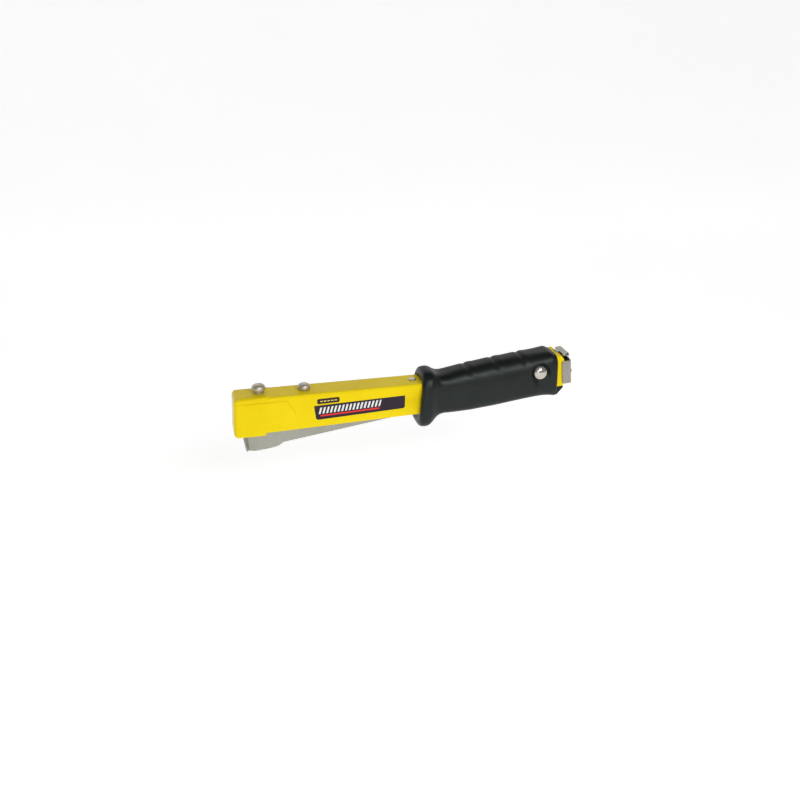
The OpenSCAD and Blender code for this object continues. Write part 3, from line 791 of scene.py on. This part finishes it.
def casing():
    """The folded casing: two walls that turn in towards the nose, and a floor."""
    half, wall = 11.2, 1.2
    nose_half, taper = 7.6, 7.5       # half width at the nose, and how far back it narrows from

    def half_at(u):
        d = u - NOSE_U
        if d >= taper:
            return half
        full = math.sqrt(max(0.0, 1 - ((taper - d) / taper) ** 2)) ** 0.95
        return nose_half + (half - nose_half) * full

    def low(u):
        """The sole: it curves up at the nose, runs nearly flat, then rises to the floor."""
        if u < -266:
            return -15.3 + 1.5 * ((-266 - u) / 9.3) ** 2.4
        if u < -258:
            return -15.3 - 0.35 * (u + 266) / 8
        if u > -244.4:
            return -12.6
        t = (u + 258) / 13.6
        return -15.65 + 3.05 * (0.25 * t * t + 0.75 * t ** 5)

    outline = [(NOSE_U, 3), (-270, 3), (-264, 9), (-160, 9), (-124, 5.4), (-100, 5.4), (-60, 7),
               (-12, 9), (20, 9)]

    def top(u):
        for (a, wa), (b, wb) in zip(outline, outline[1:]):
            if u <= b:
                return wa + (wb - wa) * (u - a) / (b - a)
        return 9.0

    us = [NOSE_U + 0.35 * k for k in range(26)] + [-266.0, -264, -262, -260]
    us += [-259.4 + 0.6 * k for k in range(1, 26)] + [-240] + [-240 + 20 * k for k in range(1, 12)]
    us = sorted(us + [-124, -12, 12, 20])
    verts, faces = [], []

    def extrude(rings):
        """Joins rings of points into a closed bar."""
        base, n = len(verts), len(rings[0])
        for ring in rings:
            verts.extend(ring)
        for k in range(len(rings) - 1):
            a, b = base + k * n, base + (k + 1) * n
            for i in range(n):
                j = (i + 1) % n
                faces.append([a + i, b + i, b + j, a + j])
        last = base + (len(rings) - 1) * n
        faces.append([base + i for i in range(n)])
        faces.append([last + i for i in range(n)])

    for s in (-1, 1):
        rings = []
        for u in us:
            b, lo, hi, r = half_at(u), low(u), top(u), 0.8
            ring = [(b - wall, lo + 0.2), (b - wall, hi), (b - 0.25, hi), (b, hi - 0.25), (b, lo + r),
                    (b - 0.24, lo + 0.24), (b - r, lo)]
            rings.append([mag(u, s * y, w) for y, w in ring])
        extrude(rings)
    floor = ((-10.6, -12.6), (-10.6, -11.6), (10.6, -11.6), (10.6, -12.6))
    extrude([[mag(u, y, w) for y, w in floor] for u in us if u >= -246])
    o = make("magazine_shell", verts, faces, smooth=38, merge=False)
    dress(o, M_CASING, "magazine", ["magazine_casing"])


casing()

# ---------------------------------------------------------------- springs

lo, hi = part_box("return_spring")
# its lower part rides the magazine and its upper part the body; they slide into each other on a blow
for name, span, rider, node in (("return_coil", (0.0, 0.4), "magazine", ["return_spring"]),
                                ("return_coil_top", (0.4, 1.0), "housing", ())):
    start, length = Vector(((lo.x + hi.x) / 2, 0, lo.z)), (hi.z - lo.z) * 1000
    o = coil(name, start, (0, 0, 1), 5.2, 1.6, length, 3.6, 0.9, span)
    dress(o, M_SPRING, rider, node)

# behind the nose come the strip of 54 staples, 1.27 apart, and the follower's 78 mm shoe
shoe_end = NOSE_U + 0.2 + 54 * 1.27 + 0.3 + 78 + 0.2
o = coil("pusher_coil", mag(shoe_end, 0, 3.3), SLIDE, 2.1, 0.6, 26.5 - shoe_end, 58, 1.5)
dress(o, M_SPRING, "pusher_rod", ["pusher_spring"])

# ---------------------------------------------------------------- rear catch


def sheet(name, path, low, high, thick, where):
    """A bent sheet that follows path, (u, y), and reaches from low(u, y) to high(u, y)."""
    rows, verts, faces = 14, [], []
    n = len(path)
    for i, (u, y) in enumerate(path):
        a, b = Vector(path[max(i - 1, 0)]), Vector(path[min(i + 1, n - 1)])
        side = (b - a).normalized()
        side = Vector((-side.y, side.x)) * thick / 2
        lo, hi = low(u, y), high(u, y)
        for k in range(rows + 1):
            w = lo + (hi - lo) * k / rows
            verts += [where(u + side.x, y + side.y, w), where(u - side.x, y - side.y, w)]
    m = 2 * (rows + 1)
    for i in range(n - 1):
        for k in range(rows):
            a, b = i * m + 2 * k, (i + 1) * m + 2 * k
            faces += [[a, b, b + 2, a + 2], [a + 1, a + 3, b + 3, b + 1]]
        faces += [[i * m, i * m + 1, (i + 1) * m + 1, (i + 1) * m]]
        faces += [[i * m + m - 2, (i + 1) * m + m - 2, (i + 1) * m + m - 1, i * m + m - 1]]
    for i in (0, n - 1):
        for k in range(rows):
            a = i * m + 2 * k
            faces.append([a, a + 2, a + 3, a + 1])
    return make(name, verts, faces, smooth=35)


def catch():
    """The end cap's bent plate, the ears that carry the latch pin, and the latch tongue."""
    tip, hinge_u, hinge_w = math.radians(4), 29.6, 3.3

    def tipped(u, y, w):
        """The plate leans a little, about the end of the pusher rod."""
        du, dw = u - hinge_u, w - hinge_w
        return mag(hinge_u + du * math.cos(tip) + dw * math.sin(tip), y,
                   hinge_w + dw * math.cos(tip) - du * math.sin(tip))

    mid_y, r, plate_u = 14.45, 1.6, 30.7
    near = [(22 + 0.3 * k, -mid_y) for k in range(8)] + [(24.6 + 0.6 * k, -mid_y) for k in range(6)]
    bend = [(plate_u - r + r * math.sin(a), -mid_y + r - r * math.cos(a)) for a in
            [math.pi / 2 * k / 8 for k in range(9)]]
    back_y = [-12, -10.8, -10.2, -9.8, -9.4, -8.8, -6, -3, 0, 3, 6, 8.8, 9.4, 9.8, 10.2, 10.8, 12]
    path = near + bend + [(plate_u, y) for y in back_y]
    path += [(u, -y) for u, y in reversed(near + bend)]

    def cut(u):
        """Rounds the flanges' front corners."""
        d = min(2.0, u - 22)
        return 2.0 - math.sqrt(max(0.0, 4 - (2.0 - d) ** 2))

    def high(u, y):
        """The plate's top edge, 1 mm higher between the ears."""
        t = max(0.0, min(1.0, (10.2 - abs(y)) / 0.8))
        return 5.4 - cut(u) + t * t * (3 - 2 * t)

    cap = sheet("end_cap_plate", path, lambda u, y: -17 + cut(u), high, 1.1, tipped)
    bevel(cap, 0.25, 2, 50)
    dress(cap, M_CLIP, "pusher_rod", ["end_cap"])
    ear = fillet([(25.6, 4.0, 0.6), (30.3, 4.0), (30.3, 5.8, 0.4), (29.5, 7.6, 0.8), (28.8, 9.9, 1.2),
                  (25.6, 9.9, 1.4)], 5)
    for k, y in enumerate((-6.2, 5.0)):
        o = prism(f"latch_ear_{k}", ear, y, y + 1.2, mag)
        bevel(o, 0.2, 2, 30)
        dress(o, M_CLIP, "pusher_rod", ())
    strap = fillet([(24.9, 10.6, 0.3), (29.4, 10.6, 0.5), (30.5, 10.0, 0.6), (30.5, 7.8, 0.4),
                    (31.6, 7.8, 0.4), (31.6, 10.7, 1.3), (30.2, 11.7, 1.3), (24.9, 11.7, 0.5)], 5)
    lug = fillet([(25.9, 11.2), (25.9, 7.5, 1.4), (28.9, 7.5, 1.4), (28.9, 11.2)], 5)
    finger = fillet([(26, 11.7), (25.4, 11.7, 0.6), (24.4, 12.2, 0.6), (21.9, 12.6, 0.8), (21.2, 12.2, 0.5),
                     (21.2, 10, 0.3), (22, 10, 0.3), (22.3, 11.5, 0.3), (24, 11.1, 0.5), (25, 10.6),
                     (26, 10.6)], 4)
    parts = (("latch_strap", strap, 9.6), ("latch_lug", lug, 4.8), ("latch_finger", finger, 3.0))
    for name, outline, wide in parts:
        o = prism(name, outline, -wide, wide, mag)
        bevel(o, 0.3, 3, 40)
        dress(o, M_CLIP, "latch", ["latch_tongue"] if name == "latch_strap" else ())


catch()

# ---------------------------------------------------------------- carried CAD nodes

CARRIED = {
    "blade_clamp": M_DARK, "driver_blade": M_SPRING, "impact_bumper": M_BUMPER, "stop_hanger": M_DARK,
    "spring_post": M_DARK, "pivot_bushes": M_BRASS, "nose_plate": M_NOSE, "nose_foot": M_NOSE,
    "nose_rivets": M_CASING, "staple_track": M_BRIGHT, "staple_rail": M_BRIGHT, "spring_seat": M_DARK,
    "strike_bridge": M_CASING,
    "stop_pin": M_BRIGHT, "staple_strip": M_STAPLE, "follower_shoe": M_DARK, "follower_plate": M_BRIGHT,
    "pusher_rod": M_BRIGHT, "rod_tip_nut": M_BRIGHT, "spring_seat_washer": M_BRIGHT,
    "end_cap_nut": M_BRIGHT, "latch_pin": M_BRIGHT, "latch_rivets": M_RIVET}
for node, mat in CARRIED.items():
    o = frame["nodes"][node]
    o.data.materials.clear()
    o.data.materials.append(mat)
    m = o.modifiers.new("soft_edges", "BEVEL")
    m.width = 0.00018
    m.segments = 2
    m.limit_method = "ANGLE"
    m.angle_limit = math.radians(40)

# ---------------------------------------------------------------- stage


def area(name, where, target, size, power_w, color=(1, 1, 1)):
    li = bpy.data.lights.new(name, "AREA")
    li.shape = "RECTANGLE"
    li.size, li.size_y = size
    li.energy = power_w
    li.color = color
    o = bpy.data.objects.new(name, li)
    o.location = where
    o.rotation_euler = (Vector(target) - Vector(where)).to_track_quat("-Z", "Y").to_euler()
    bpy.context.scene.collection.objects.link(o)


mid = body(-15, 0, -10)
FLOOR_Z = -0.09
# a paper sweep: flat below the tool and rising far behind it
curve = [math.pi / 2 * k / 16 for k in range(1, 17)]
profile = [(-3.0, 0.0), (0.0, 0.0), (1.2, 0.0)]
profile += [(1.2 + 1.5 * math.sin(a), 1.5 - 1.5 * math.cos(a)) for a in curve]
profile += [(2.7, 4.0)]
verts = [Vector((x, y, z + FLOOR_Z)) for y, z in profile for x in (-5.0, 5.0)]
faces = [[2 * k, 2 * k + 1, 2 * k + 3, 2 * k + 2] for k in range(len(profile) - 1)]
floor = make("floor", verts, faces, smooth=60)
nf = Nodes("floor_paper")
nf.set(Specular_IOR_Level=0.1, Emission_Color=(1, 1, 1, 1), Emission_Strength=0.48)
paper = nf.ramp(nf.noise(3, 2), [(0.3, (0.93, 0.93, 0.93)), (0.7, (0.95, 0.95, 0.95))])
nf.done(paper, nf.ramp(nf.noise(40, 2), [(0.3, 0.8), (0.7, 0.9)]))
floor.data.materials.append(nf.mat)

world = bpy.data.worlds.new("studio")
world.use_nodes = True
world.node_tree.nodes["Background"].inputs[0].default_value = (1, 1, 1, 1)
world.node_tree.nodes["Background"].inputs[1].default_value = 0.34
bpy.context.scene.world = world
bpy.context.scene.view_settings.view_transform = "Standard"

area("key", mid + Vector((0.18, -0.85, 0.52)), mid, (0.55, 0.34), 4.0)
area("front", mid + Vector((-0.30, -1.05, 0.22)), mid, (0.50, 0.40), 1.1)

# ---------------------------------------------------------------- camera

# it looks at AIM from DIST mm, turned AZ round the tool, EL above it and rolled by ROLL
AZ, EL, ROLL, DIST = math.radians(-13.19), math.radians(22.18), math.radians(-0.3), 919.74
AIM = body(-17.21, 0, -19.11)
back = Vector((math.sin(AZ) * math.cos(EL), -math.cos(AZ) * math.cos(EL), math.sin(EL)))
right = Vector((math.cos(AZ), math.sin(AZ), 0))
up = back.cross(right)
r2 = right * math.cos(ROLL) + up * math.sin(ROLL)
u2 = back.cross(r2)
cam = bpy.data.cameras.new("camera")
cam.sensor_width = 36
cam.lens = 45
cam.clip_start = 0.01
cam_o = bpy.data.objects.new("camera", cam)
rot = Matrix((r2, u2, back)).transposed().to_4x4()
rot.translation = AIM + back * DIST * MM
cam_o.matrix_world = rot
bpy.context.scene.collection.objects.link(cam_o)
bpy.context.scene.camera = cam_o
